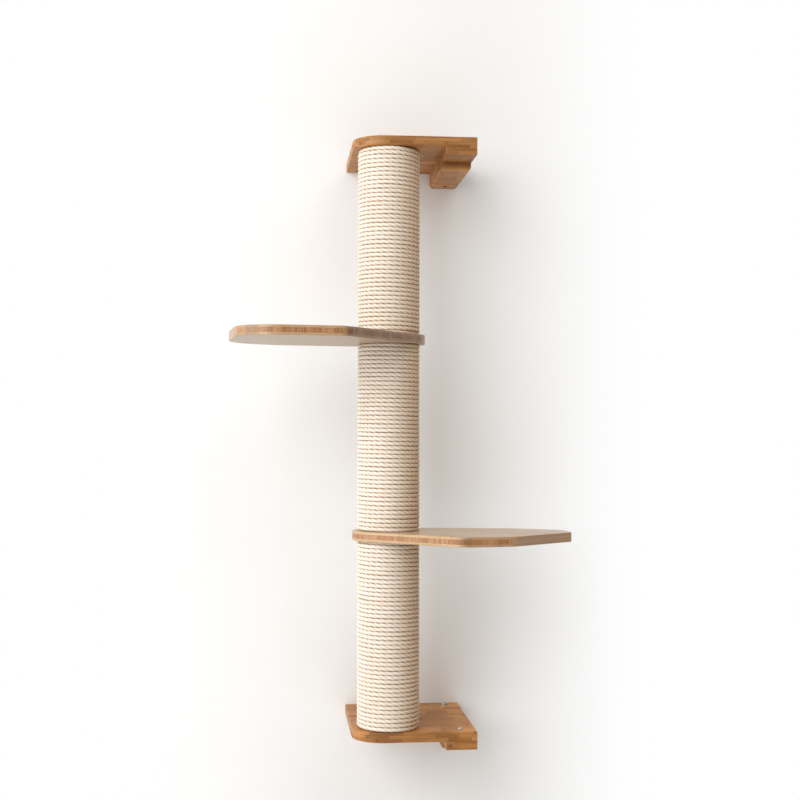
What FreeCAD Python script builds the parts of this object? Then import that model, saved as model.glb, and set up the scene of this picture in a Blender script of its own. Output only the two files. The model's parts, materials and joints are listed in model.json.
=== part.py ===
import FreeCAD
import Part
import math
import os
from FreeCAD import Vector

# A cat tree that hangs on a wall: a rope-wound post in three equal lengths, with an end board at its
# top and bottom and two shelves clamped between the lengths. Each end board is carried by a block of
# two layers at its right end, a spacer and an arm, which fits over a steel bracket on the wall.
# Millimetres. +Z is up, +X is right and +Y points into the wall. The wall is the plane Y = 0, and the
# origin is midway between the two screw holes of the upper bracket.

# ---------------------------------------------------------------- driving sizes

# boards and shelves
BOARD_THICKNESS = 19.0
BOARD_DEPTH = 287.0
BOARD_LEFT = 73.5            # from the post's axis to the board's left side
BOARD_CORNER = 64.0          # round front left corner
SHELF_THICKNESS = 19.0
SHELF_EYE_RADIUS = 73.0      # round end of a shelf, about the post's axis
EASED_EDGE = 1.5             # small rounding along the edges of every board

# outline corners of the shelves, seen from above: right and back from the post's axis, and radius
UPPER_SHELF_CORNERS = [
    (-227.0, 40.0, 80.0),
    (-323.0, -26.0, 87.0),
    (-296.0, -262.0, 75.0),
    (-100.0, -236.0, 59.0),
]
LOWER_SHELF_CORNERS = [
    (123.0, -203.0, 52.0),
    (224.0, -188.0, 46.0),
    (356.0, -84.0, 8.0),
    (353.5, -21.0, 30.0),
    (256.0, 36.0, 60.0),
]

# post
POST_LENGTH = 373.0          # one of three equal lengths
POST_RADIUS = 62.5           # over the rope
POST_TO_WALL = 223.0         # from the post's axis to the wall
POST_TO_BLOCK = 140.0        # from the post's axis to the middle of the wall blocks
ROPE_DIAMETER = 8.0
ROPE_PITCH = 8.5             # from turn to turn
# where each rope's lower end lies: degrees from +X, seen from above
ROPE_END_ANGLE = {"upper": -164.0, "middle": -91.0, "lower": -52.0}
ROPE_JOIN_ANGLE = 90.0       # where its two lengths meet, on the wall side
ROPE_JOIN_GAP = 2.5          # between the rope's ends where they meet
GAP_POINTS_PER_TURN = 72     # for measuring the gap between turns
TUBE_WALL = 5.0
PLUG_THICKNESS = 18.0

# wall blocks
BLOCK_WIDTH = 62.0
SPACER_THICKNESS = 16.0
ARM_THICKNESS = 16.0
ARM_LENGTH = 212.0           # from the wall to the arm's front
ARM_ROUNDING = 9.0

# wall bracket
PLATE_WIDTH = 54.0
PLATE_HEIGHT = 26.0
PLATE_THICKNESS = 4.0
PLATE_CORNER = 3.0
WALL_HOLE_SPACING = 40.0
WALL_HOLE_RADIUS = 3.25
HEAD_POCKET_RADIUS = 6.5     # room in the wood for the head of a wall screw
HEAD_POCKET_DEPTH = 7.0
TONGUE_WIDTH = 22.0
TONGUE_LENGTH = 42.0         # from the wall
TONGUE_THICKNESS = 4.0

# lock bolt, its washer and its insert
LOCK_FROM_WALL = 27.0
LOCK_RADIUS = 4.0
LOCK_LENGTH = 48.0
LOCK_HEAD_RADIUS = 6.75
LOCK_HEAD_HEIGHT = 4.0
LOCK_SOCKET = 5.0            # across flats
LOCK_SOCKET_DEPTH = 2.4
LOCK_WASHER_RADIUS = 8.0
LOCK_WASHER_THICKNESS = 1.6
INSERT_RADIUS = 6.0
INSERT_LENGTH = 11.0

# wood screws
FRONT_SCREW_INSET = 29.0     # from the board's front edge
FRONT_SCREW_RADIUS = 2.25
FRONT_SCREW_LENGTH = 30.0
FRONT_SCREW_HEAD_RADIUS = 5.25
FRONT_SCREW_HEAD_HEIGHT = 3.2
FRONT_SCREW_HEAD_ROUNDING = 2.2
ARM_SCREW_FROM_WALL = (80.0, 172.0)
ARM_SCREW_RADIUS = 2.0
ARM_SCREW_LENGTH = 27.0
ARM_SCREW_HEAD_RADIUS = 4.0
RECESS_WIDTH = 1.3           # of each arm of the cross recess in a screw head
RECESS_SPAN = 5.2
RECESS_DEPTH = 1.4
SCREW_POINT = 5.0            # length of the pointed end
SCREW_TIP_RADIUS = 0.5       # the point is a little blunt

# bolts, washers, studs and tee nuts on the post's axis
AXIS_BOLT_RADIUS = 5.0
AXIS_BOLT_LENGTH = 30.0
AXIS_HEAD_RADIUS = 9.0
AXIS_HEAD_HEIGHT = 3.5
AXIS_SOCKET = 6.0            # across flats
AXIS_SOCKET_DEPTH = 2.1
BOLT_HEAD_ROUNDING = 1.4     # of both kinds of bolt head
AXIS_WASHER_RADIUS = 12.0
AXIS_WASHER_THICKNESS = 2.0
AXIS_HEAD_SUNK = 0.5         # how far the head lies below the board's face
STUD_LENGTH = 53.0
NUT_BARREL_RADIUS = 6.5
NUT_BARREL_LENGTH = 12.0
NUT_FLANGE_RADIUS = 12.0
NUT_FLANGE_THICKNESS = 1.5

# clearances, radial or on each side
ROPE_CLEARANCE = 0.3         # rope to tube and to the boards
SEAT_CLEARANCE = 0.1         # a round piece glued or pressed in its hole
THREAD_CLEARANCE = 0.05      # a bolt in its nut, a screw in its hole
BOLT_CLEARANCE = 0.25        # a bolt through a board
SHELF_CLEARANCE = 0.08       # a shelf that turns on its stud
BRACKET_CLEARANCE = 0.3      # the recesses round the bracket's tongue and plate
SAME = 1e-6                  # lengths that differ by less count as equal

# ---------------------------------------------------------------- derived places

ROPE_RADIUS = ROPE_DIAMETER / 2
ROPE_PATH_RADIUS = POST_RADIUS - ROPE_RADIUS
ROPE_TURN_LENGTH = 2 * math.pi * ROPE_PATH_RADIUS
TUBE_RADIUS = POST_RADIUS - ROPE_DIAMETER - ROPE_CLEARANCE
TUBE_BORE = TUBE_RADIUS - TUBE_WALL
BOARD_FRONT = -BOARD_DEPTH
BOARD_LEFT_X = -POST_TO_BLOCK - BOARD_LEFT
BOARD_RIGHT_X = BLOCK_WIDTH / 2
AXIS_SEAT_DEPTH = AXIS_HEAD_SUNK + AXIS_HEAD_HEIGHT + AXIS_WASHER_THICKNESS

# heights of the upper block, and of the pieces that hang below it, each from the one above
TOP_BOARD_Z = SPACER_THICKNESS
UPPER_POST_Z = TOP_BOARD_Z - POST_LENGTH
UPPER_SHELF_Z = UPPER_POST_Z - SHELF_THICKNESS
MIDDLE_POST_Z = UPPER_SHELF_Z - POST_LENGTH
LOWER_SHELF_Z = MIDDLE_POST_Z - SHELF_THICKNESS
LOWER_POST_Z = LOWER_SHELF_Z - POST_LENGTH
BOTTOM_BOARD_Z = LOWER_POST_Z - BOARD_THICKNESS
UPPER_JOINT_Z = 0.0          # between spacer and arm
LOWER_JOINT_Z = BOTTOM_BOARD_Z - SPACER_THICKNESS

POST_Z = {"upper": UPPER_POST_Z, "middle": MIDDLE_POST_Z, "lower": LOWER_POST_Z}
JOINT_Z = {"upper": UPPER_JOINT_Z, "lower": LOWER_JOINT_Z}
BOARD_Z = {"upper": TOP_BOARD_Z, "lower": BOTTOM_BOARD_Z}

UP = Vector(0, 0, 1)
DOWN = Vector(0, 0, -1)
OUT = Vector(0, -1, 0)       # away from the wall


# ---------------------------------------------------------------- small helpers

def axis_point(z):
    """The point of the post's axis at one height."""
    return Vector(-POST_TO_BLOCK, -POST_TO_WALL, z)


def cylinder(base, radius, length, direction=UP):
    return Part.makeCylinder(radius, length, base, direction)


def box(x, y, z):
    """A box from the low and high limits along each axis."""
    return Part.makeBox(x[1] - x[0], y[1] - y[0], z[1] - z[0], Vector(x[0], y[0], z[0]))


def ring(base, outer, inner, length, direction=UP):
    return cylinder(base, outer, length, direction).cut(cylinder(base, inner, length, direction))


def unit(vector):
    return Vector(vector).normalize()


def at_angle(radius, angle):
    """A point round the origin, at an angle in radians from +X."""
    return Vector(radius * math.cos(angle), radius * math.sin(angle), 0)


def rounded_corner(before, corner, after, radius):
    """Start, middle and end of the arc that rounds one corner."""
    back = unit(before - corner)
    on = unit(after - corner)
    half = back.getAngle(on) / 2
    inward = unit(back + on)
    start = corner + back * (radius / math.tan(half))
    end = corner + on * (radius / math.tan(half))
    middle = corner + inward * (radius / math.sin(half) - radius)
    return start, middle, end


def edges_between(points):
    return [Part.makeLine(a, b) for a, b in zip(points, points[1:])]


def slab(edges, z, thickness):
    """A flat board from the edges of its outline."""
    face = Part.Face(Part.Wire(edges))
    face.translate(Vector(0, 0, z))
    return face.extrude(Vector(0, 0, thickness))


def ease(solid, radius, keep):
    """Round the edges that keep() picks."""
    return solid.makeFillet(radius, [edge for edge in solid.Edges if keep(edge)])


def is_level(edge):
    return edge.BoundBox.ZLength < SAME


def is_at_height(edge, z):
    return is_level(edge) and abs(edge.BoundBox.ZMin - z) < SAME


def is_at_front(edge, y):
    return edge.BoundBox.YMax < y + SAME


def is_at_wall(edge):
    return edge.BoundBox.YMin > -SAME


def hexagon_prism(base, across_flats, depth, direction):
    corner = across_flats / 2 / math.cos(math.pi / 6)
    points = [at_angle(corner, math.pi / 3 * i) for i in range(7)]
    prism = Part.Face(Part.Wire(edges_between(points))).extrude(Vector(0, 0, depth))
    prism.Placement = FreeCAD.Placement(base, FreeCAD.Rotation(UP, direction))
    return prism


def save(name, shape):
    shape.exportStep(os.path.join("parts", name + ".step"))


# ---------------------------------------------------------------- boards and shelves

def axis_seat(board, face_z, inward):
    """Sink the head and washer of the post's bolt into a board's outer face."""
    seat_radius = AXIS_WASHER_RADIUS + SEAT_CLEARANCE
    seat = cylinder(axis_point(face_z), seat_radius, AXIS_SEAT_DEPTH, inward)
    hole = cylinder(axis_point(face_z), AXIS_BOLT_RADIUS + BOLT_CLEARANCE, BOARD_THICKNESS, inward)
    return board.cut(seat).cut(hole)


def end_board(z):
    """The flat end board, before its holes."""
    right_back = Vector(BOARD_RIGHT_X, 0, 0)
    right_front = Vector(BOARD_RIGHT_X, BOARD_FRONT, 0)
    left_front = Vector(BOARD_LEFT_X, BOARD_FRONT, 0)
    left_back = Vector(BOARD_LEFT_X, 0, 0)
    start, middle, end = rounded_corner(right_front, left_front, left_back, BOARD_CORNER)
    edges = edges_between([left_back, right_back, right_front, start])
    edges += [Part.Arc(start, middle, end).toShape(), Part.makeLine(end, left_back)]
    board = slab(edges, z, BOARD_THICKNESS)
    return ease(board, EASED_EDGE, lambda edge: is_level(edge) and not is_at_wall(edge))


def flank_touch(corner, side):
    """Where the straight flank from a corner touches the shelf's round end; side is -1 or 1."""
    bearing = math.atan2(corner.y, corner.x)
    turn = side * math.acos(SHELF_EYE_RADIUS / corner.Length)
    return at_angle(SHELF_EYE_RADIUS, bearing + turn)


def shelf_edges(corners):
    """A shelf's outline about the post's axis: straight flanks off a round end, and rounded corners."""
    places = [Vector(x, y, 0) for x, y, _ in corners]
    first = flank_touch(places[0], -1)
    last = flank_touch(places[-1], 1)
    far = -unit(unit(places[0]) + unit(places[-1])) * SHELF_EYE_RADIUS
    stops = [first] + places + [last]
    edges = []
    reached = first
    for before, corner, after, (_, _, radius) in zip(stops, stops[1:], stops[2:], corners):
        start, middle, end = rounded_corner(before, corner, after, radius)
        edges += [Part.makeLine(reached, start), Part.Arc(start, middle, end).toShape()]
        reached = end
    edges += [Part.makeLine(reached, last), Part.Arc(last, far, first).toShape()]
    return edges


def shelf(corners, z):
    board = slab(shelf_edges(corners), 0, SHELF_THICKNESS)
    board = ease(board, EASED_EDGE, is_level)
    board.translate(axis_point(z))
    return board.cut(cylinder(axis_point(z), AXIS_BOLT_RADIUS + SHELF_CLEARANCE, SHELF_THICKNESS))


# ---------------------------------------------------------------- wall blocks

def lock_point(z):
    return Vector(0, -LOCK_FROM_WALL, z)


def front_screw_point(z):
    return Vector(0, BOARD_FRONT + FRONT_SCREW_INSET, z)


def wall_hole_points(from_wall, z):
    half = WALL_HOLE_SPACING / 2
    return [Vector(-half, -from_wall, z), Vector(half, -from_wall, z)]


def bracket_room(joint_z):
    """What is milled out of a block for the bracket's plate and the heads of the wall screws."""
    half_width = PLATE_WIDTH / 2 + BRACKET_CLEARANCE
    half_height = PLATE_HEIGHT / 2 + BRACKET_CLEARANCE
    plate_room = box(
        (-half_width, half_width),
        (-PLATE_THICKNESS, 0),
        (joint_z - half_height, joint_z + half_height),
    )
    pockets = [
        cylinder(place, HEAD_POCKET_RADIUS, HEAD_POCKET_DEPTH, OUT)
        for place in wall_hole_points(PLATE_THICKNESS, joint_z)
    ]
    return [plate_room] + pockets


def block_layer(front, z, thickness):
    half = BLOCK_WIDTH / 2
    return box((-half, half), (front, 0), (z, z + thickness))


def spacer(joint_z):
    """The upper layer of a block, as long as the board, with a recess for the bracket's tongue."""
    body = block_layer(BOARD_FRONT, joint_z, SPACER_THICKNESS)
    covered = joint_z + SPACER_THICKNESS
    body = ease(
        body,
        EASED_EDGE,
        lambda edge: is_at_front(edge, BOARD_FRONT) and not is_at_height(edge, covered),
    )
    half = TONGUE_WIDTH / 2 + BRACKET_CLEARANCE
    recess = box(
        (-half, half),
        (-TONGUE_LENGTH - BRACKET_CLEARANCE, 0),
        (joint_z, joint_z + TONGUE_THICKNESS + BRACKET_CLEARANCE),
    )
    holes = [recess] + bracket_room(joint_z)
    holes.append(cylinder(lock_point(joint_z), LOCK_RADIUS + BOLT_CLEARANCE, SPACER_THICKNESS))
    holes.append(
        cylinder(
            front_screw_point(joint_z),
            FRONT_SCREW_RADIUS + THREAD_CLEARANCE,
            SPACER_THICKNESS,
        )
    )
    holes += [arm_screw_hole(joint_z, place) for place in ARM_SCREW_FROM_WALL]
    return body.cut(holes)


def arm(joint_z):
    """The lower layer of a block, short and round-edged, with the insert's seat and its open hole."""
    bottom = joint_z - ARM_THICKNESS
    body = block_layer(-ARM_LENGTH, bottom, ARM_THICKNESS)

    def is_rounded(edge):
        if is_at_wall(edge):
            return False
        return is_at_height(edge, bottom) or (is_at_front(edge, -ARM_LENGTH) and not is_level(edge))

    body = ease(body, ARM_ROUNDING, is_rounded)
    holes = bracket_room(joint_z)
    holes.append(
        cylinder(lock_point(joint_z), INSERT_RADIUS + SEAT_CLEARANCE, INSERT_LENGTH, DOWN)
    )
    holes.append(cylinder(lock_point(bottom), LOCK_RADIUS + BOLT_CLEARANCE, ARM_THICKNESS))
    holes += [arm_screw_hole(joint_z, place) for place in ARM_SCREW_FROM_WALL]
    return body.cut(holes)


def arm_screw_top(joint_z, from_wall):
    return Vector(0, -from_wall, joint_z + SPACER_THICKNESS)


def countersunk_body(top, extra):
    """A countersunk screw's outline, made larger all round by extra for its hole."""
    head = Part.makeCone(
        ARM_SCREW_HEAD_RADIUS + extra,
        ARM_SCREW_RADIUS + extra,
        ARM_SCREW_HEAD_RADIUS - ARM_SCREW_RADIUS,
        top,
        DOWN,
    )
    shank = cylinder(top, ARM_SCREW_RADIUS + extra, ARM_SCREW_LENGTH - SCREW_POINT, DOWN)
    tip = pointed_end(top - Vector(0, 0, ARM_SCREW_LENGTH), ARM_SCREW_RADIUS + extra)
    return head.fuse([shank, tip])


def arm_screw_hole(joint_z, from_wall):
    return countersunk_body(arm_screw_top(joint_z, from_wall), THREAD_CLEARANCE)


def pointed_end(tip, radius):
    """The last stretch of a wood screw, narrowing to a blunt point."""
    return Part.makeCone(SCREW_TIP_RADIUS, radius, SCREW_POINT, tip, UP)


def cross_recess(top):
    """The cross cut into a screw head."""
    arms = [
        box((-x, x), (-y, y), (-RECESS_DEPTH, RECESS_DEPTH))
        for x, y in (
            (RECESS_SPAN / 2, RECESS_WIDTH / 2),
            (RECESS_WIDTH / 2, RECESS_SPAN / 2),
        )
    ]
    cross = arms[0].fuse(arms[1])
    cross.translate(top)
    return cross


def arm_screws(joint_z):
    screws = []
    for place in ARM_SCREW_FROM_WALL:
        top = arm_screw_top(joint_z, place)
        screws.append(countersunk_body(top, 0).removeSplitter().cut(cross_recess(top)))
    return Part.makeCompound(screws)


def front_screw(board_z):
    """A round-headed wood screw down through the board into the spacer."""
    seat = front_screw_point(board_z + BOARD_THICKNESS)
    crown = seat + UP * FRONT_SCREW_HEAD_HEIGHT
    head = cylinder(seat, FRONT_SCREW_HEAD_RADIUS, FRONT_SCREW_HEAD_HEIGHT)
    head = ease(head, FRONT_SCREW_HEAD_ROUNDING, lambda edge: is_at_height(edge, crown.z))
    shank = cylinder(seat, FRONT_SCREW_RADIUS, FRONT_SCREW_LENGTH - SCREW_POINT, DOWN)
    tip = pointed_end(seat - UP * FRONT_SCREW_LENGTH, FRONT_SCREW_RADIUS)
    return head.fuse([shank, tip]).removeSplitter().cut(cross_recess(crown))


def bolt_head(seat, outward, radius, height, socket, socket_depth):
    """A low round head with a six-sided socket; seat is the middle of its flat under side."""
    crown = seat + outward * height
    head = cylinder(seat, radius, height, outward)
    head = ease(head, BOLT_HEAD_ROUNDING, lambda edge: is_at_height(edge, crown.z))
    return head.cut(hexagon_prism(crown, socket, socket_depth, -outward))


def lock_bolt(board_z):
    """The bolt down through board, spacer and the bracket's tongue into the arm's insert."""
    seat = lock_point(board_z + BOARD_THICKNESS + LOCK_WASHER_THICKNESS)
    head = bolt_head(
        seat, UP, LOCK_HEAD_RADIUS, LOCK_HEAD_HEIGHT, LOCK_SOCKET, LOCK_SOCKET_DEPTH
    )
    return head.fuse(cylinder(seat, LOCK_RADIUS, LOCK_LENGTH, DOWN)).removeSplitter()


def lock_washer(board_z):
    return ring(
        lock_point(board_z + BOARD_THICKNESS),
        LOCK_WASHER_RADIUS,
        LOCK_RADIUS + BOLT_CLEARANCE,
        LOCK_WASHER_THICKNESS,
    )


def arm_insert(joint_z):
    return ring(
        lock_point(joint_z), INSERT_RADIUS, LOCK_RADIUS + THREAD_CLEARANCE, INSERT_LENGTH, DOWN
    )


def wall_bracket(joint_z):
    """A plate that is screwed to the wall, and a tongue that stands out of it under the spacer."""
    half_width = PLATE_WIDTH / 2
    half_height = PLATE_HEIGHT / 2
    plate = box(
        (-half_width, half_width),
        (-PLATE_THICKNESS, 0),
        (joint_z - half_height, joint_z + half_height),
    )
    plate = ease(plate, PLATE_CORNER, lambda edge: edge.BoundBox.YLength > SAME)
    tongue = box(
        (-TONGUE_WIDTH / 2, TONGUE_WIDTH / 2),
        (-TONGUE_LENGTH, -PLATE_THICKNESS / 2),
        (joint_z, joint_z + TONGUE_THICKNESS),
    )
    holes = [
        cylinder(place, WALL_HOLE_RADIUS, PLATE_THICKNESS, OUT)
        for place in wall_hole_points(0, joint_z)
    ]
    holes.append(cylinder(lock_point(joint_z), LOCK_RADIUS + BOLT_CLEARANCE, TONGUE_THICKNESS))
    return plate.fuse(tongue).removeSplitter().cut(holes)


def drilled_board(board_z):
    """An end board with the holes for its block's lock bolt and front screw."""
    lock_hole = cylinder(lock_point(board_z), LOCK_RADIUS + BOLT_CLEARANCE, BOARD_THICKNESS)
    screw_hole = cylinder(
        front_screw_point(board_z), FRONT_SCREW_RADIUS + THREAD_CLEARANCE, BOARD_THICKNESS
    )
    return end_board(board_z).cut([lock_hole, screw_hole])


def save_block(level):
    """Every piece of one wall block."""
    joint_z = JOINT_Z[level]
    board_z = BOARD_Z[level]
    save(level + "_spacer", spacer(joint_z))
    save(level + "_arm", arm(joint_z))
    save(level + "_arm_screws", arm_screws(joint_z))
    save(level + "_arm_insert", arm_insert(joint_z))
    save(level + "_front_screw", front_screw(board_z))
    save(level + "_lock_bolt", lock_bolt(board_z))
    save(level + "_lock_washer", lock_washer(board_z))
    save(level + "_wall_bracket", wall_bracket(joint_z))


# ---------------------------------------------------------------- post lengths

def rope_angle(level, turns):
    return math.radians(ROPE_END_ANGLE[level]) - 2 * math.pi * turns


def rope_point(level, turns):
    """A point of the winding's centre line: it sinks to the right as seen from the front."""
    height = POST_Z[level] + ROPE_CLEARANCE + ROPE_RADIUS + turns * ROPE_PITCH
    return axis_point(height) + at_angle(ROPE_PATH_RADIUS, rope_angle(level, turns))


def rope_heading(level, turns):
    """The direction of the centre line, upwards along the rope."""
    along = at_angle(ROPE_TURN_LENGTH, rope_angle(level, turns) - math.pi / 2)
    return unit(along + UP * ROPE_PITCH)


def arc_from(start, control, end):
    """The arc from start to end whose end tangents meet at control."""
    chord_middle = (start + end) * 0.5
    reach = (start - control).Length
    half_chord = (start - chord_middle).Length
    half_turn = math.acos(min(1.0, half_chord / reach))
    bulge = half_chord * math.tan(half_turn / 2)
    middle = chord_middle + unit(control - chord_middle) * bulge
    return Part.Arc(start, middle, end).toShape()


def biarc(start, heading, end, end_heading):
    """Two arcs that leave start along heading and reach end along end_heading."""
    span = end - start
    both = heading + end_heading
    a = 2 * (heading.dot(end_heading) - 1)
    b = -2 * span.dot(both)
    c = span.dot(span)
    reach = (-b - math.sqrt(b * b - 4 * a * c)) / (2 * a)
    first = start + heading * reach
    second = end - end_heading * reach
    middle = (first + second) * 0.5
    return [arc_from(start, first, middle), arc_from(middle, second, end)]


def rope_spine(level, first_turn, last_turn):
    """The centre line from one turn count to another, with straight ends one diameter long."""
    steps = round((last_turn - first_turn) * 2)
    stops = [first_turn + (last_turn - first_turn) * i / steps for i in range(steps + 1)]
    points = [rope_point(level, turns) for turns in stops]
    headings = [rope_heading(level, turns) for turns in stops]
    edges = [Part.makeLine(points[0] - headings[0] * ROPE_DIAMETER, points[0])]
    for i in range(steps):
        edges += biarc(points[i], headings[i], points[i + 1], headings[i + 1])
    edges.append(Part.makeLine(points[-1], points[-1] + headings[-1] * ROPE_DIAMETER))
    return Part.Wire(edges)


def rope_tube(level, first_turn, last_turn):
    """One unbroken length of rope."""
    spine = rope_spine(level, first_turn, last_turn)
    start = spine.OrderedVertexes[0].Point
    section = Part.Wire(Part.makeCircle(ROPE_RADIUS, start, rope_heading(level, first_turn)))
    tube = spine.makePipeShell([section], True, False)
    swept = math.pi * ROPE_RADIUS**2 * spine.Length
    print("%s rope: %.1f turns, %.0f mm long" % (level, last_turn - first_turn, spine.Length))
    print("  volume over section times length %.4f" % (tube.Volume / swept))
    print("  least gap to itself %.2f mm" % least_self_gap(spine))
    return tube


def least_self_gap(spine):
    """The least gap between a turn and the next, from points along the centre line."""
    count = int(spine.Length / ROPE_TURN_LENGTH * GAP_POINTS_PER_TURN)
    points = spine.discretize(Number=count)
    nearest = min(
        (points[i] - points[j]).Length
        for i in range(count)
        for j in range(i + GAP_POINTS_PER_TURN // 2, min(count, i + GAP_POINTS_PER_TURN * 3 // 2))
    )
    return nearest - ROPE_DIAMETER


def winding(level):
    """A post length's rope: two lengths that meet on the wall side, half way up."""
    all_turns = (POST_LENGTH - ROPE_DIAMETER - 2 * ROPE_CLEARANCE) / ROPE_PITCH
    end_share = ROPE_DIAMETER / ROPE_TURN_LENGTH
    join_share = end_share + ROPE_JOIN_GAP / 2 / ROPE_TURN_LENGTH
    join_turn = round(all_turns / 2) + (ROPE_END_ANGLE[level] - ROPE_JOIN_ANGLE) / 360
    return Part.makeCompound([
        rope_tube(level, end_share, join_turn - join_share),
        rope_tube(level, join_turn + join_share, all_turns - end_share),
    ])


def plug(z):
    bore = NUT_BARREL_RADIUS + SEAT_CLEARANCE
    return ring(axis_point(z), TUBE_BORE - SEAT_CLEARANCE, bore, PLUG_THICKNESS)


def tee_nut(face, inward):
    """A nut with a flange on the plug's inner face and a barrel inside the plug."""
    inner_face = axis_point(face) + inward * PLUG_THICKNESS
    bore = AXIS_BOLT_RADIUS + THREAD_CLEARANCE
    flange = ring(inner_face, NUT_FLANGE_RADIUS, bore, NUT_FLANGE_THICKNESS, inward)
    barrel = ring(inner_face, NUT_BARREL_RADIUS, bore, NUT_BARREL_LENGTH, -inward)
    return flange.fuse(barrel).removeSplitter()


def save_post_length(level):
    """Every piece of one post length."""
    bottom = POST_Z[level]
    top = bottom + POST_LENGTH
    save(level + "_rope", winding(level))
    save(level + "_core_tube", ring(axis_point(bottom), TUBE_RADIUS, TUBE_BORE, POST_LENGTH))
    save(level + "_post_top_plug", plug(top - PLUG_THICKNESS))
    save(level + "_post_bottom_plug", plug(bottom))
    save(level + "_post_tee_nuts", Part.makeCompound([tee_nut(bottom, UP), tee_nut(top, DOWN)]))


def shelf_stud(shelf_z):
    """A stud through a shelf, screwed into the tee nuts above and below it."""
    middle = shelf_z + SHELF_THICKNESS / 2
    return cylinder(axis_point(middle - STUD_LENGTH / 2), AXIS_BOLT_RADIUS, STUD_LENGTH)


def save_axis_bolt(name, face_z, outward):
    """The bolt and washer that hold an end board to the post, sunk below the board's face."""
    washer_face = axis_point(face_z) - outward * AXIS_SEAT_DEPTH
    washer = ring(
        washer_face,
        AXIS_WASHER_RADIUS,
        AXIS_BOLT_RADIUS + BOLT_CLEARANCE,
        AXIS_WASHER_THICKNESS,
        outward,
    )
    seat = washer_face + outward * AXIS_WASHER_THICKNESS
    head = bolt_head(
        seat, outward, AXIS_HEAD_RADIUS, AXIS_HEAD_HEIGHT, AXIS_SOCKET, AXIS_SOCKET_DEPTH
    )
    shank = cylinder(seat, AXIS_BOLT_RADIUS, AXIS_BOLT_LENGTH, -outward)
    save(name + "_post_bolt", head.fuse(shank).removeSplitter())
    save(name + "_post_washer", washer)


# ---------------------------------------------------------------- the whole tree

os.makedirs("parts", exist_ok=True)

TOP_FACE = TOP_BOARD_Z + BOARD_THICKNESS
save("top_board", axis_seat(drilled_board(TOP_BOARD_Z), TOP_FACE, DOWN))
save("bottom_board", axis_seat(drilled_board(BOTTOM_BOARD_Z), BOTTOM_BOARD_Z, UP))
save("upper_shelf", shelf(UPPER_SHELF_CORNERS, UPPER_SHELF_Z))
save("lower_shelf", shelf(LOWER_SHELF_CORNERS, LOWER_SHELF_Z))
for block_level in JOINT_Z:
    save_block(block_level)
for post_level in POST_Z:
    save_post_length(post_level)
save("upper_shelf_stud", shelf_stud(UPPER_SHELF_Z))
save("lower_shelf_stud", shelf_stud(LOWER_SHELF_Z))
save_axis_bolt("top", TOP_FACE, UP)
save_axis_bolt("bottom", BOTTOM_BOARD_Z, DOWN)
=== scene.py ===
import json
import math

import bmesh
import bpy
from mathutils import Matrix, Vector, noise


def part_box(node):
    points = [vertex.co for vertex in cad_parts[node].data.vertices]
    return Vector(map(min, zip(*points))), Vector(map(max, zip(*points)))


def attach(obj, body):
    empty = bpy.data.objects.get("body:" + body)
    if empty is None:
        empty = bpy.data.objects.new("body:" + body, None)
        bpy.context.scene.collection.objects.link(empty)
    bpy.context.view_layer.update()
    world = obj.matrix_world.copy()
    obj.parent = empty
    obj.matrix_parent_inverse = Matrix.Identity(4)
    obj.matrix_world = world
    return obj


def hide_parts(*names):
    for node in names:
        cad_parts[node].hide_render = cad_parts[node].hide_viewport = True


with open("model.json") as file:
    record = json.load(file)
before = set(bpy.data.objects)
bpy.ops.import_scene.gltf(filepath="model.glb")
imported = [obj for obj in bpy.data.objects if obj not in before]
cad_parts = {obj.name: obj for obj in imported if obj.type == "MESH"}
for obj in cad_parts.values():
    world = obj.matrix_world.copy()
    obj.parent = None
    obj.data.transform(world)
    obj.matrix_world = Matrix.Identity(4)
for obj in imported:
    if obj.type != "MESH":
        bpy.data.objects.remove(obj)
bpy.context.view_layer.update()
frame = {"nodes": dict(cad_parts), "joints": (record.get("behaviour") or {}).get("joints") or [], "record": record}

# The dressed cat tree: sisal winding, bamboo boards and shelves, and steel fasteners, hung on a pale
# wall. Metres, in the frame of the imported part: +Z up, +X right, the wall at Y = 0.

MM = 0.001

# ---------------------------------------------------------------- sizes of the winding

POST_AXIS = Vector(frame["joints"][0]["pos_m"])
ROPE_LEVELS = {"upper": -164.0, "middle": -91.0, "lower": -52.0}   # degrees of each lower end from +X
ROPE_PITCH = 8.5 * MM
ROPE_RADIUS = 4.0 * MM
ROPE_PATH_RADIUS = 58.5 * MM
STRAND_COUNT = 3
STRAND_RADIUS = 3.0 * MM
STRAND_REACH = 1.3 * MM          # from the rope's middle to the middle of a strand
STRAND_POINTS = 6                # points round each strand
ROPE_LAY = 38.0 * MM             # length in which a strand goes once round the rope
RINGS_PER_LAY = 12
ROPE_SQUEEZE = 1.05              # the turns press on each other and stand a little taller
TAIL_TURNS = 0.85                # each end thins out and tucks under the last turn, along this much of a turn
ROPE_WANDER = 0.55 * MM          # how far a turn strays up and down
ROPE_LIFT = 0.25 * MM            # and in and out

# ---------------------------------------------------------------- sizes of the boards' make-up

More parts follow.
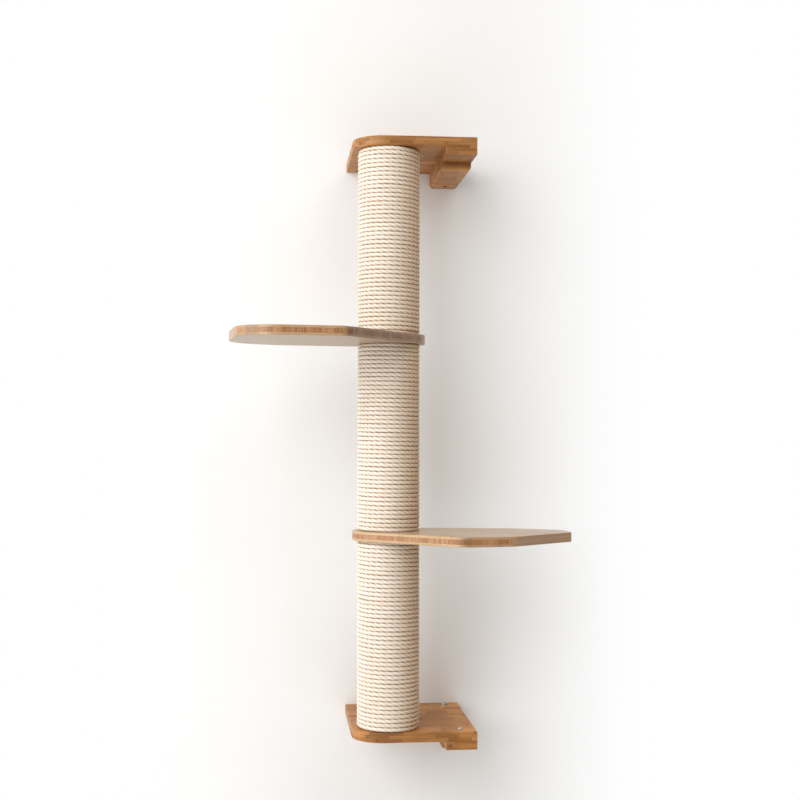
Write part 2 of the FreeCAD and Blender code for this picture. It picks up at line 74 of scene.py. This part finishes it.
BLOCK_STRIP = 21 * MM            # width of one bamboo strip in an end board
BLOCK_PLY = 6.4 * MM             # its thickness
BLOCK_PIECE = 46 * MM            # length of one piece of a strip
SHELF_SKIN = 4.8 * MM            # outer ply of a shelf
CORE_STRIP = 5.6 * MM            # width of one upright strip of a shelf's core
SKIN_STRIP = 19 * MM             # width of one strip in an outer ply
SHELF_TURN = {                   # direction of an outer ply's grain, from +X
    "upper_shelf": math.radians(6.5),
    "lower_shelf": math.radians(-52.0),
}
KNUCKLE_SPACING = 0.27           # between the joints of a bamboo cane
GLUE_LINE = 0.35 * MM
LOCK_HOLE_PLACE = -27 * MM       # the lock bolts' holes, from the wall
HOLE_SHADE_RADIUS = 5.7 * MM      # painted shade darkens the wood this far from a hole's middle
DARK_SEAM = ((-37 * MM, 9 * MM), -163 * MM)     # the seam in the bottom board's top: ends, and from the wall

# ---------------------------------------------------------------- camera, wall and light

CAMERA_PLACE = Vector((-374.5, -2882.0, -555.9)) * MM
CAMERA_TURN = 0.0966             # radians towards +X
CAMERA_TILT = 0.0257             # radians up
CAMERA_ROLL = 0.0015
FILM_WIDTH = 36.0
LENS = FILM_WIDTH * 1325 / 800

WALL_GAP = 0.5 * MM              # the backdrop stands just clear of the part's back
WALL_WIDTH = 7.0
WALL_TOP = 2.2
FLOOR_Z = -1.75
FLOOR_DEPTH = 6.0
WHITE_FROM = 0.13                # from the post sideways, where the backdrop starts to fade to white
WHITE_AT = 0.60


# ---------------------------------------------------------------- materials

class Finish:
    """A material being made: each method adds nodes and gives back an output to build on."""

    def __init__(self, name, **settings):
        self.material = bpy.data.materials.new(name)
        self.material.use_nodes = True
        self.tree = self.material.node_tree
        self.shader = self.tree.nodes["Principled BSDF"]
        for socket, value in settings.items():
            self.shader.inputs[socket.replace("_", " ")].default_value = value
        self.place = self.node("TexCoord", {}, "Object")
        self.x, self.y, self.z = self.split(self.place)

    def node(self, kind, inputs, output=0, **settings):
        node = self.tree.nodes.new("ShaderNode" + kind)
        for name, value in settings.items():
            setattr(node, name, value)
        for name, value in inputs.items():
            if isinstance(value, bpy.types.NodeSocket):
                self.tree.links.new(value, node.inputs[name])
            else:
                node.inputs[name].default_value = value
        return node.outputs[output]

    def split(self, vector):
        node = self.node("SeparateXYZ", {"Vector": vector}).node
        return node.outputs[0], node.outputs[1], node.outputs[2]

    def join(self, x=0.0, y=0.0, z=0.0):
        return self.node("CombineXYZ", {"X": x, "Y": y, "Z": z})

    def calc(self, operation, *values):
        return self.node("Math", dict(enumerate(values)), operation=operation)

    def stretch(self, value, from_low, from_high, to_low=0.0, to_high=1.0):
        inputs = {
            "Value": value,
            "From Min": from_low,
            "From Max": from_high,
            "To Min": to_low,
            "To Max": to_high,
        }
        return self.node("MapRange", inputs, interpolation_type="SMOOTHSTEP")

    def noise(self, place, scale, detail=3.0, rough=0.55):
        inputs = {"Vector": place, "Scale": scale, "Detail": detail, "Roughness": rough}
        return self.node("TexNoise", inputs)

    def chance(self, *numbers):
        """A steady random value from 0 to 1 for each set of whole numbers."""
        place = self.join(*numbers)
        return self.node("TexWhiteNoise", {"Vector": place}, "Value", noise_dimensions="3D")

    def ramp(self, value, *stops):
        """A colour along stops of (place, colour)."""
        node = self.node("ValToRGB", {"Fac": value}).node
        band = node.color_ramp.elements
        while len(band) < len(stops):
            band.new(1.0)
        for element, (place, colour) in zip(band, stops):
            element.position = place
            element.color = (*colour, 1.0)
        return node.outputs["Color"]

    def mix(self, share, first, second, blend="MIX"):
        node = self.tree.nodes.new("ShaderNodeMix")
        node.data_type = "RGBA"
        node.blend_type = blend
        for socket, value in zip((node.inputs[0], node.inputs[6], node.inputs[7]), (share, first, second)):
            if isinstance(value, bpy.types.NodeSocket):
                self.tree.links.new(value, socket)
            else:
                socket.default_value = value if isinstance(value, float) else (*value, 1.0)
        return node.outputs[2]

    def shade(self, colour, strength):
        """The colour made darker or lighter by a value about 1."""
        grey = self.node("CombineColor", {"Red": strength, "Green": strength, "Blue": strength})
        return self.mix(1.0, colour, grey, "MULTIPLY")

    def wear(self, colour, roughness=None, height=None, depth=MM, strength=1.0):
        """Link what varies over the surface to the shader."""
        self.tree.links.new(colour, self.shader.inputs["Base Color"])
        if roughness is not None:
            self.tree.links.new(roughness, self.shader.inputs["Roughness"])
        if height is not None:
            inputs = {"Height": height, "Distance": depth, "Strength": strength}
            bump = self.node("Bump", inputs)
            self.tree.links.new(bump, self.shader.inputs["Normal"])
        return self.material


def strip_across(finish, across, width, shift=0.0):
    """Which strip a point lies in, and how far it is from the strip's nearer edge."""
    steps = finish.calc("ADD", finish.calc("DIVIDE", across, width), shift)
    number = finish.calc("FLOOR", steps)
    share = finish.calc("FRACT", steps)
    edge = finish.calc("MINIMUM", share, finish.calc("SUBTRACT", 1.0, share))
    return number, finish.calc("MULTIPLY", edge, width)


def cane_grain(finish, along, across, through, chance):
    """The long fibres of a bamboo strip, from 0 to 1."""
    shifted = finish.calc("ADD", along, finish.calc("MULTIPLY", chance, 7.0))
    long_lines = finish.noise(
        finish.join(
            finish.calc("MULTIPLY", across, 420.0),
            finish.calc("MULTIPLY", shifted, 5.0),
            finish.calc("MULTIPLY", through, 420.0),
        ),
        1.0, 4.0, 0.6,
    )
    pores = finish.noise(
        finish.join(
            finish.calc("MULTIPLY", across, 1500.0),
            finish.calc("MULTIPLY", shifted, 40.0),
            finish.calc("MULTIPLY", through, 1500.0),
        ),
        1.0, 2.0, 0.5,
    )
    return long_lines, pores


def knuckle(finish, along, chance):
    """The narrow dark band where a cane was jointed, 1 in its middle and 0 away from it."""
    steps = finish.calc("ADD", finish.calc("DIVIDE", along, KNUCKLE_SPACING), chance)
    share = finish.calc("FRACT", steps)
    off = finish.calc("ABSOLUTE", finish.calc("SUBTRACT", share, 0.5))
    return finish.stretch(off, 0.004, 0.016, 1.0, 0.0)


def block_bamboo():
    """Solid caramel bamboo of the end boards and blocks: short pieces in strips that run along X."""
    f = Finish("Caramel bamboo", Roughness=0.45, Specular_IOR_Level=0.4, Coat_Weight=0.1, Coat_Roughness=0.35)
    ply, ply_edge = strip_across(f, f.z, BLOCK_PLY)
    strip, strip_edge = strip_across(f, f.y, BLOCK_STRIP, f.chance(ply, 3.0, 8.0))
    piece, piece_edge = strip_across(f, f.x, BLOCK_PIECE, f.calc("MULTIPLY", f.chance(strip, ply, 6.0), 9.0))
    tint = f.chance(strip, ply, piece)
    lines, pores = cane_grain(f, f.x, f.y, f.z, tint)
    tone = f.calc("ADD", f.calc("MULTIPLY", tint, 0.5), f.calc("MULTIPLY", lines, 0.55))
    colour = f.ramp(
        tone,
        (0.10, (0.17, 0.060, 0.010)),
        (0.34, (0.25, 0.098, 0.019)),
        (0.62, (0.335, 0.143, 0.032)),
        (0.95, (0.46, 0.225, 0.068)),
    )
    colour = f.shade(colour, f.stretch(pores, 0.32, 0.62, 0.80, 1.05))
    colour = f.shade(colour, f.stretch(knuckle(f, f.x, tint), 0.0, 1.0, 1.0, 0.7))
    seam = f.calc("MINIMUM", f.calc("MINIMUM", strip_edge, ply_edge), piece_edge)
    colour = f.shade(colour, f.stretch(seam, 0.0, GLUE_LINE, 0.80, 1.0))
    colour = f.shade(colour, flat_or_end(f, 1.4, 1.3))
    # painted highlight: the lower block and the board's end over it made paler
    colour = f.shade(colour, lower_block_highlight(f))
    # painted shade: near black in and round the lock bolts' holes
    colour = f.shade(colour, hole_shade(f))
    colour = f.shade(colour, dark_seam(f))
    roughness = f.stretch(pores, 0.2, 0.8, 0.58, 0.42)
    return f.wear(colour, roughness, pores, 0.12 * MM, 0.5)


def flat_or_end(finish, flat, end):
    """How much paler the strips' flat faces and the ends of the boards are than their long edges."""
    normal = finish.node("TexCoord", {}, "Normal")
    sideways, _, upward = finish.split(normal)
    on_flat = finish.stretch(finish.calc("ABSOLUTE", upward), 0.3, 0.9, 1.0, flat)
    on_end = finish.stretch(finish.calc("ABSOLUTE", sideways), 0.3, 0.9, 1.0, end)
    return finish.calc("MULTIPLY", on_flat, on_end)


def hole_shade(finish):
    """Painted shade: near black in a lock bolt's hole and in a ring round it."""
    from_bolt = finish.calc("SUBTRACT", finish.y, LOCK_HOLE_PLACE)
    off = finish.node("VectorMath", {0: finish.join(finish.x, from_bolt)}, "Value", operation="LENGTH")
    return finish.stretch(off, HOLE_SHADE_RADIUS - 0.5 * MM, HOLE_SHADE_RADIUS, 0.08, 1.0)


def lower_block_highlight(finish):
    """Painted highlight: the lower block, and the board's end over it, made paler."""
    low = finish.calc("LESS_THAN", finish.z, -1.0)
    over_block = finish.stretch(finish.x, -22 * MM, 8 * MM)
    return finish.stretch(finish.calc("MULTIPLY", low, over_block), 0.0, 1.0, 1.0, 1.28)


def dark_seam(finish):
    """The one dark seam that shows in the top of the bottom board, thinner towards its ends."""
    ends, place = DARK_SEAM
    middle = (ends[0] + ends[1]) / 2
    half = (ends[1] - ends[0]) / 2
    along = finish.calc("ABSOLUTE", finish.calc("SUBTRACT", finish.x, middle))
    inside = finish.stretch(along, half * 0.55, half, 1.0, 0.0)
    off = finish.calc("ABSOLUTE", finish.calc("SUBTRACT", finish.y, place))
    line = finish.stretch(off, 1.2 * MM, 3.2 * MM, 1.0, 0.0)
    low = finish.calc("LESS_THAN", finish.z, -1.0)
    mark = finish.calc("MULTIPLY", finish.calc("MULTIPLY", inside, line), low)
    return finish.stretch(mark, 0.0, 1.0, 1.0, 0.6)


def shelf_bamboo(name, node, turn):
    """Three-ply bamboo: pale outer plies, and across them a core of upright strips.

    The turn is the angle from +X of the outer plies' grain.
    """
    f = Finish(name, Roughness=0.4, Coat_Weight=0.2, Coat_Roughness=0.25)
    bottom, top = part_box(node)[0].z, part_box(node)[1].z
    middle = (bottom + top) / 2
    core_half = (top - bottom) / 2 - SHELF_SKIN
    from_middle = f.calc("ABSOLUTE", f.calc("SUBTRACT", f.z, middle))
    in_core = f.stretch(from_middle, core_half - 0.1 * MM, core_half + 0.1 * MM, 1.0, 0.0)
    along, across, _ = f.split(turned_by(f, f.place, turn))
    normal = turned_by(f, f.node("TexCoord", {}, "Normal"), turn)
    facing, _, upward = f.split(normal)
    facing = f.calc("ABSOLUTE", facing)
    # painted shade: faces that look down made darker
    underside_shade = f.stretch(upward, -0.9, -0.5, 0.76, 1.0)
    level = f.stretch(f.calc("ABSOLUTE", upward), 0.5, 0.9)

    side = f.calc("GREATER_THAN", f.z, middle)
    plank, plank_edge = strip_across(f, across, SKIN_STRIP)
    skin_piece = f.chance(plank, side, 4.0)
    lines, pores = cane_grain(f, along, across, f.z, skin_piece)
    skin_tone = f.calc("ADD", f.calc("MULTIPLY", skin_piece, 0.3), f.calc("MULTIPLY", lines, 0.7))
    edge_skin = f.ramp(
        skin_tone,
        (0.15, (0.41, 0.245, 0.112)),
        (0.5, (0.53, 0.345, 0.18)),
        (0.85, (0.62, 0.43, 0.25)),
    )
    flat_skin = f.ramp(
        skin_tone,
        (0.15, (0.46, 0.30, 0.175)),
        (0.5, (0.56, 0.385, 0.245)),
        (0.85, (0.64, 0.465, 0.315)),
    )
    flat_skin = f.shade(flat_skin, underside_shade)
    edge_skin = f.mix(f.stretch(facing, 0.3, 1.0, 0.0, 0.85), edge_skin, (0.42, 0.245, 0.13))
    skin = f.mix(level, edge_skin, flat_skin)
    skin = f.shade(skin, f.stretch(knuckle(f, along, skin_piece), 0.0, 1.0, 1.0, 0.85))
    skin = f.shade(skin, f.stretch(plank_edge, 0.0, GLUE_LINE, 0.92, 1.0))

    colour = f.mix(in_core, skin, upright_strips(f, along, across, facing))
    # painted shade: edges that slant across the outer plies' grain, facing away from the light, made darker
    slant_shade = f.calc("MULTIPLY", f.stretch(facing, 0.35, 0.65), f.stretch(facing, 0.74, 0.84, 1.0, 0.0))
    colour = f.shade(colour, f.stretch(slant_shade, 0.0, 1.0, 1.0, 0.68))
    from_joint = f.calc("ABSOLUTE", f.calc("SUBTRACT", from_middle, core_half))
    colour = f.shade(colour, f.stretch(from_joint, 0.0, GLUE_LINE, 0.85, 1.0))
    colour = f.shade(colour, f.stretch(pores, 0.35, 0.62, 0.88, 1.05))
    roughness = f.stretch(pores, 0.2, 0.8, 0.46, 0.32)
    return f.wear(colour, roughness, pores, 0.1 * MM, 0.4)


def turned_by(finish, vector, turn):
    """A vector as seen in axes turned about +Z."""
    inputs = {"Vector": vector, "Angle": -turn}
    return finish.node("VectorRotate", inputs, rotation_type="Z_AXIS")


def upright_strips(finish, along, across, facing):
    """A shelf's core: reddish strips on end, or one strip's long side where the edge runs with them."""
    f = finish
    bend = f.noise(f.join(f.calc("MULTIPLY", along, 32.0), 5.0, 0.0), 1.0, 1.0)
    strip, strip_edge = strip_across(f, along, CORE_STRIP, f.calc("MULTIPLY", bend, 1.5))
    piece = f.chance(strip, 2.0, 9.0)
    lines, _ = cane_grain(f, across, along, f.z, piece)
    tone = f.calc("ADD", f.calc("MULTIPLY", piece, 0.42), f.calc("MULTIPLY", lines, 0.54))
    ends = f.ramp(
        tone,
        (0.12, (0.25, 0.10, 0.033)),
        (0.40, (0.36, 0.163, 0.063)),
        (0.64, (0.44, 0.227, 0.10)),
        (0.92, (0.54, 0.325, 0.16)),
    )
    glued_pale = f.calc("GREATER_THAN", f.chance(strip, 7.0, 1.0), 0.6)
    seam = f.calc("MULTIPLY", f.stretch(strip_edge, 0.2 * MM, 0.6 * MM, 0.5, 0.0), glued_pale)
    ends = f.mix(seam, ends, (0.62, 0.40, 0.21))
    long_side = f.ramp(
        lines,
        (0.3, (0.40, 0.24, 0.14)),
        (0.7, (0.50, 0.32, 0.19)),
    )
    return f.mix(f.stretch(facing, 0.9, 0.98), ends, long_side)


def sisal():
    """Cream sisal with fine fibres, and painted shade: tan in the grooves between turns and between strands,
    warmer and darker on the side away from the window.
    """
    f = Finish("Sisal rope", Roughness=0.78, Sheen_Weight=0.25, Sheen_Roughness=0.5)
    run = f.node("Attribute", {}, "Vector", attribute_name="rope_place")
    along, out, up = f.split(run)
    crest = f.node("Attribute", {}, "Fac", attribute_name="crest")
    fibres = f.noise(
        f.join(
            f.calc("MULTIPLY", along, 110.0),
            f.calc("MULTIPLY", out, 2600.0),
            f.calc("MULTIPLY", up, 2600.0),
        ),
        1.0, 3.0, 0.6,
    )
    yarns = f.noise(
        f.join(
            f.calc("MULTIPLY", along, 45.0),
            f.calc("MULTIPLY", out, 700.0),
            f.calc("MULTIPLY", up, 700.0),
        ),
        1.0, 2.0, 0.5,
    )
    patches = f.noise(f.join(f.calc("MULTIPLY", along, 9.0), 0.0, 0.0), 1.0, 3.0)
    tone = f.calc("ADD", f.calc("MULTIPLY", yarns, 0.55), f.calc("MULTIPLY", patches, 0.45))
    colour = f.ramp(
        tone,
        (0.25, (0.74, 0.63, 0.48)),
        (0.42, (0.86, 0.80, 0.70)),
        (0.62, (0.92, 0.885, 0.82)),
    )
    # painted shade: tan where the surface faces up or down into the next turn, in the grooves between turns
    groove_shade = f.stretch(out, 0.4 * MM, 3.6 * MM, 0.9, 0.0)
    colour = f.mix(groove_shade, colour, (0.64, 0.41, 0.22))
    # painted shade: tan in the valleys between the strands
    colour = f.mix(f.stretch(crest, 0.0, 0.8, 0.5, 0.0), colour, (0.62, 0.43, 0.26))
    colour = f.shade(colour, f.stretch(fibres, 0.3, 0.65, 0.84, 1.05))
    specks = f.noise(
        f.join(
            f.calc("MULTIPLY", along, 260.0),
            f.calc("MULTIPLY", out, 800.0),
            f.calc("MULTIPLY", up, 800.0),
        ),
        1.0, 2.0, 0.6,
    )
    colour = f.mix(f.stretch(specks, 0.58, 0.74, 0.0, 0.6), colour, (0.60, 0.42, 0.25))
    # painted shade: the rope's side away from the window, from the post's middle towards +X, made warmer and
    # darker
    away_side_shade = f.stretch(f.calc("SUBTRACT", f.x, POST_AXIS.x), -5 * MM, 62 * MM)
    colour = f.mix(away_side_shade, colour, (0.90, 0.74, 0.56), "MULTIPLY")
    height = f.calc("ADD", f.calc("MULTIPLY", fibres, 0.5), f.calc("MULTIPLY", yarns, 0.8))
    return f.wear(colour, None, height, 0.5 * MM, 0.8)


def plated_steel():
    """Zinc plated steel with faint scratches and a clouded plating."""
    f = Finish("Plated steel", Metallic=1.0, Roughness=0.32)
    clouds = f.noise(f.place, 260.0, 4.0, 0.6)
    scratches = f.noise(
        f.join(f.calc("MULTIPLY", f.x, 3000.0), f.calc("MULTIPLY", f.y, 300.0), f.z), 1.0, 2.0
    )
    colour = f.ramp(clouds, (0.3, (0.50, 0.50, 0.48)), (0.7, (0.70, 0.70, 0.67)))
    roughness = f.stretch(clouds, 0.25, 0.75, 0.26, 0.42)
    return f.wear(colour, roughness, scratches, 0.05 * MM, 0.3)


def powder_coat():
    """Black powder coat with a fine orange-peel surface."""
    f = Finish("Black powder coat", Roughness=0.55)
    peel = f.noise(f.place, 1400.0, 2.0)
    colour = f.ramp(peel, (0.3, (0.018, 0.018, 0.019)), (0.7, (0.035, 0.035, 0.036)))
    return f.wear(colour, None, peel, 0.1 * MM, 0.6)


def tube_board():
    """Wound paper board, with the spiral seam of its outer paper."""
    f = Finish("Paper board", Roughness=0.85)
    fibres = f.noise(f.place, 900.0, 4.0, 0.65)
    colour = f.ramp(fibres, (0.3, (0.36, 0.25, 0.15)), (0.7, (0.50, 0.37, 0.23)))
    angle = f.calc(
        "ARCTAN2",
        f.calc("SUBTRACT", f.y, POST_AXIS.y),
        f.calc("SUBTRACT", f.x, POST_AXIS.x),
    )
    seam_run = f.calc("ADD", f.calc("DIVIDE", f.z, 0.14), f.calc("DIVIDE", angle, 2 * math.pi))
    _, seam_edge = strip_across(f, seam_run, 1.0)
    colour = f.shade(colour, f.stretch(seam_edge, 0.0, 0.008, 0.6, 1.0))
    return f.wear(colour, None, fibres, 0.15 * MM, 0.5)


def plywood():
    """Raw plywood of the plugs: level plies, light and dark by turns."""
    f = Finish("Raw plywood", Roughness=0.7)
    ply, ply_edge = strip_across(f, f.z, 2.6 * MM)
    tint = f.chance(ply, 5.0, 5.0)
    lines, pores = cane_grain(f, f.x, f.y, f.z, tint)
    tone = f.calc("ADD", f.calc("MULTIPLY", tint, 0.5), f.calc("MULTIPLY", lines, 0.5))
    colour = f.ramp(tone, (0.2, (0.42, 0.27, 0.13)), (0.8, (0.66, 0.47, 0.27)))
    colour = f.shade(colour, f.stretch(ply_edge, 0.0, 0.2 * MM, 0.75, 1.0))
    return f.wear(colour, None, pores, 0.15 * MM, 0.6)


def dress_nodes():
    """Give each node of the frame the finish of its slot; nodes whose slot has none here are left as they are."""
    caramel = block_bamboo()
    steel = plated_steel()
    powder = powder_coat()
    paper = tube_board()
    ply = plywood()
    finishes = {
        "block_bamboo": caramel,
        "tube_board": paper,
        "plug_wood": ply,
        "bracket_steel": powder,
        "bright_steel": steel,
    }
    slots = {entry["node"]: entry["material_slot"] for entry in frame["record"]["subparts"]}
    for name, node in frame["nodes"].items():
        finish = finishes.get(slots[name])
        if slots[name] == "shelf_bamboo":
            finish = shelf_bamboo("Three-ply bamboo, " + name.replace("_", " "), name, SHELF_TURN[name])
        if finish is None:
            continue
        node.data.materials.clear()
        node.data.materials.append(finish)


# ---------------------------------------------------------------- the winding

def strand_section():
    """The rope's outline: three round strands, as points of radius and of how near a crest."""
    section = []
    for i in range(STRAND_COUNT * STRAND_POINTS):
        share = (i % STRAND_POINTS) / STRAND_POINTS
        turn = math.radians(120 * share - 60)
        sideways = STRAND_REACH * math.sin(turn)
        outline = STRAND_REACH * math.cos(turn) + math.sqrt(STRAND_RADIUS**2 - sideways**2)
        section.append((outline, 1 - abs(2 * share - 1)))
    return section


def section_curve(section):
    """The outline as a closed curve, for the rope's curve to carry along."""
    curve = bpy.data.curves.new("rope_section", "CURVE")
    curve.dimensions = "2D"
    spline = curve.splines.new("POLY")
    spline.points.add(len(section) - 1)
    for i, (radius, _) in enumerate(section):
        angle = 2 * math.pi * i / len(section)
        spline.points[i].co = (radius * math.cos(angle), radius * math.sin(angle), 0.0, 1.0)
    spline.use_cyclic_u = True
    return bpy.data.objects.new("rope_section", curve)


def rope_middle(level, bottom, turned, turns):
    """A point of the winding's centre line, and the rope's thickness there as a share."""
    on_helix = min(max(turned, 0.0), turns)
    share = 1 - abs(turned - on_helix)
    angle = math.radians(ROPE_LEVELS[level]) - 2 * math.pi * turned
    here = Vector((math.cos(angle), math.sin(angle), turned * 0.5 + ROPE_LEVELS[level]))
    if share < 1:
        stray = 0.0
        lift = 0.0
    else:
        stray = noise.noise(here * 1.3) * ROPE_WANDER
        lift = noise.noise(here * 2.1 + Vector((9.0, 4.0, 2.0))) * ROPE_LIFT
    thinned = ROPE_RADIUS * (1 - share)
    reach = ROPE_PATH_RADIUS - thinned + lift
    rise = bottom + on_helix * ROPE_PITCH + stray
    rise += thinned if turned > turns else -thinned
    place = Vector((POST_AXIS.x + reach * math.cos(angle), POST_AXIS.y + reach * math.sin(angle), rise))
    return place, share


def wind_rope(level, section, carried):
    """One post length's rope: a laid rope of three strands in one unbroken winding."""
    low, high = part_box(level + "_rope")
    turns = (high.z - low.z - 2 * ROPE_RADIUS) / ROPE_PITCH
    turn_length = 2 * math.pi * ROPE_PATH_RADIUS
    spacing = ROPE_LAY / RINGS_PER_LAY
    rings = round((turns + 2 * TAIL_TURNS) * turn_length / spacing)
    curve = bpy.data.curves.new(level + "_rope_path", "CURVE")
    curve.dimensions = "3D"
    curve.twist_mode = "Z_UP"
    curve.bevel_mode = "OBJECT"
    curve.bevel_object = carried
    spline = curve.splines.new("POLY")
    spline.points.add(rings)
    for i, point in enumerate(spline.points):
        turned = (turns + 2 * TAIL_TURNS) * i / rings - TAIL_TURNS
        place, share = rope_middle(level, low.z + ROPE_RADIUS, turned, turns)
        point.co = (*place, 1.0)
        point.radius = share
        point.tilt = 2 * math.pi * (i % RINGS_PER_LAY) / RINGS_PER_LAY
    path = bpy.data.objects.new(level + "_rope_path", curve)
    bpy.context.scene.collection.objects.link(path)
    bpy.context.view_layer.update()
    mesh = bpy.data.meshes.new_from_object(path.evaluated_get(bpy.context.evaluated_depsgraph_get()))
    mark_rope(mesh, spline, section, spacing)
    bpy.data.objects.remove(path)
    close_ends(mesh)
    rope = bpy.data.objects.new(level + "_post_winding", mesh)
    bpy.context.scene.collection.objects.link(rope)
    return rope


def close_ends(mesh):
    """Cut the rope's two ends off flat."""
    rope = bmesh.new()
    rope.from_mesh(mesh)
    rims = [edge for edge in rope.edges if edge.is_boundary]
    bmesh.ops.holes_fill(rope, edges=rims, sides=0)
    bmesh.ops.recalc_face_normals(rope, faces=rope.faces)
    rope.to_mesh(mesh)
    rope.free()


def mark_rope(mesh, spline, section, spacing):
    """Write on each point of the rope where it lies along and across it, and how near a crest."""
    mesh.attributes.new("rope_place", "FLOAT_VECTOR", "POINT")
    mesh.attributes.new("crest", "FLOAT", "POINT")
    place = mesh.attributes["rope_place"]
    crest = mesh.attributes["crest"]
    around = len(section)
    for i, vertex in enumerate(mesh.vertices):
        ring = i // around
        middle = Vector(spline.points[ring].co[:3])
        from_axis = Vector((middle.x - POST_AXIS.x, middle.y - POST_AXIS.y, 0.0)).normalized()
        offset = vertex.co - middle
        vertex.co.z = middle.z + offset.z * ROPE_SQUEEZE
        place.data[i].vector = (ring * spacing, offset.dot(from_axis), offset.z)
        crest.data[i].value = section[i % around][1]


def dress_post():
    """Wind all three post lengths."""
    finish = sisal()
    section = strand_section()
    carried = section_curve(section)
    for level in ROPE_LEVELS:
        rope = wind_rope(level, section, carried)
        for face in rope.data.polygons:
            face.use_smooth = True
        rope.data.materials.clear()
        rope.data.materials.append(finish)
        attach(rope, "stand")
        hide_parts(level + "_rope")


# ---------------------------------------------------------------- wall, floor, light and camera

def backdrop_finish():
    """Pale paint that fades to plain white, and shows from its front only."""
    f = Finish("Pale wall paint", Roughness=0.9)
    mottle = f.noise(f.place, 3.0, 3.0)
    colour = f.ramp(mottle, (0.3, (0.83, 0.83, 0.825)), (0.7, (0.85, 0.85, 0.845)))
    f.wear(colour, None, f.noise(f.place, 900.0, 2.0), 0.1 * MM, 0.3)
    sideways = f.calc("ABSOLUTE", f.calc("SUBTRACT", f.x, POST_AXIS.x))
    white_share = f.stretch(sideways, WHITE_FROM, WHITE_AT)
    rays = f.node("LightPath", {}).node
    seen = f.calc("MAXIMUM", rays.outputs["Is Camera Ray"], rays.outputs["Is Glossy Ray"])
    seen = f.calc("MAXIMUM", seen, rays.outputs["Is Transmission Ray"])
    white = f.node("Emission", {"Color": (1.0, 1.0, 1.0, 1.0), "Strength": 1.0})
    paint = f.node(
        "MixShader", {0: f.calc("MULTIPLY", seen, white_share), 1: f.shader.outputs[0], 2: white}
    )
    clear = f.node("BsdfTransparent", {})
    from_behind = f.node("NewGeometry", {}, "Backfacing")
    shown = f.node("MixShader", {0: from_behind, 1: paint, 2: clear})
    output = f.tree.nodes["Material Output"]
    f.tree.links.new(shown, output.inputs["Surface"])
    return f.material


def flat_backdrop(name, centre, size, turn, finish):
    """A flat rectangle that faces along its turned +Z."""
    mesh = bpy.data.meshes.new(name)
    sheet = bmesh.new()
    bmesh.ops.create_grid(sheet, x_segments=1, y_segments=1, size=0.5)
    bmesh.ops.scale(sheet, vec=(size[0], size[1], 1.0), verts=sheet.verts)
    bmesh.ops.transform(sheet, matrix=Matrix.Translation(centre) @ turn, verts=sheet.verts)
    sheet.to_mesh(mesh)
    sheet.free()
    plane = bpy.data.objects.new(name, mesh)
    mesh.materials.append(finish)
    bpy.context.scene.collection.objects.link(plane)


def build_stage():
    finish = backdrop_finish()
    wall_height = WALL_TOP - FLOOR_Z
    wall_centre = Vector((0.0, WALL_GAP, FLOOR_Z + wall_height / 2))
    face_front = Matrix.Rotation(math.radians(90), 4, "X")
    flat_backdrop("wall", wall_centre, (WALL_WIDTH, wall_height), face_front, finish)
    floor_centre = Vector((0.0, WALL_GAP - FLOOR_DEPTH / 2, FLOOR_Z))
    flat_backdrop("floor", floor_centre, (WALL_WIDTH, FLOOR_DEPTH), Matrix.Identity(4), finish)


def aim(place, target):
    """A matrix that looks from place to target along -Z."""
    turn = (target - place).to_track_quat("-Z", "Y").to_matrix().to_4x4()
    return Matrix.Translation(place) @ turn


def softbox(name, place, target, width, height, power, colour):
    lamp = bpy.data.lights.new(name, "AREA")
    lamp.shape = "RECTANGLE"
    lamp.size = width
    lamp.size_y = height
    lamp.energy = power
    lamp.color = colour
    holder = bpy.data.objects.new(name, lamp)
    holder.matrix_world = aim(Vector(place), Vector(target))
    bpy.context.scene.collection.objects.link(holder)


def light_scene():
    middle = (-0.14, -0.2, -0.55)
    softbox("key softbox", (-2.65, -3.5, 1.0), middle, 3.4, 3.4, 148.0, (0.985, 0.99, 1.0))
    softbox("window", (-2.6, -0.9, 0.0), middle, 1.2, 2.2, 27.0, (1.0, 1.0, 1.0))
    softbox("high fill", (1.0, -2.3, 2.0), middle, 2.2, 2.2, 22.0, (1.0, 0.97, 0.93))
    world = bpy.data.worlds.new("Pale room")
    world.use_nodes = True
    world.node_tree.nodes["Background"].inputs["Color"].default_value = (1.0, 0.94, 0.87, 1.0)
    world.node_tree.nodes["Background"].inputs["Strength"].default_value = 0.27
    bpy.context.scene.world = world


def place_camera():
    lens = bpy.data.cameras.new("camera")
    lens.sensor_fit = "HORIZONTAL"
    lens.sensor_width = FILM_WIDTH
    lens.lens = LENS
    lens.clip_end = 50.0
    camera = bpy.data.objects.new("camera", lens)
    turn = Matrix.Rotation(-CAMERA_TURN, 4, "Z")
    tilt = Matrix.Rotation(math.pi / 2 + CAMERA_TILT, 4, "X")
    roll = Matrix.Rotation(CAMERA_ROLL, 4, "Z")
    camera.matrix_world = Matrix.Translation(CAMERA_PLACE) @ turn @ tilt @ roll
    bpy.context.scene.collection.objects.link(camera)
    bpy.context.scene.camera = camera


# ---------------------------------------------------------------- the whole scene

place_camera()
light_scene()
build_stage()
dress_nodes()
dress_post()

bpy.context.scene.view_settings.view_transform = "Standard"
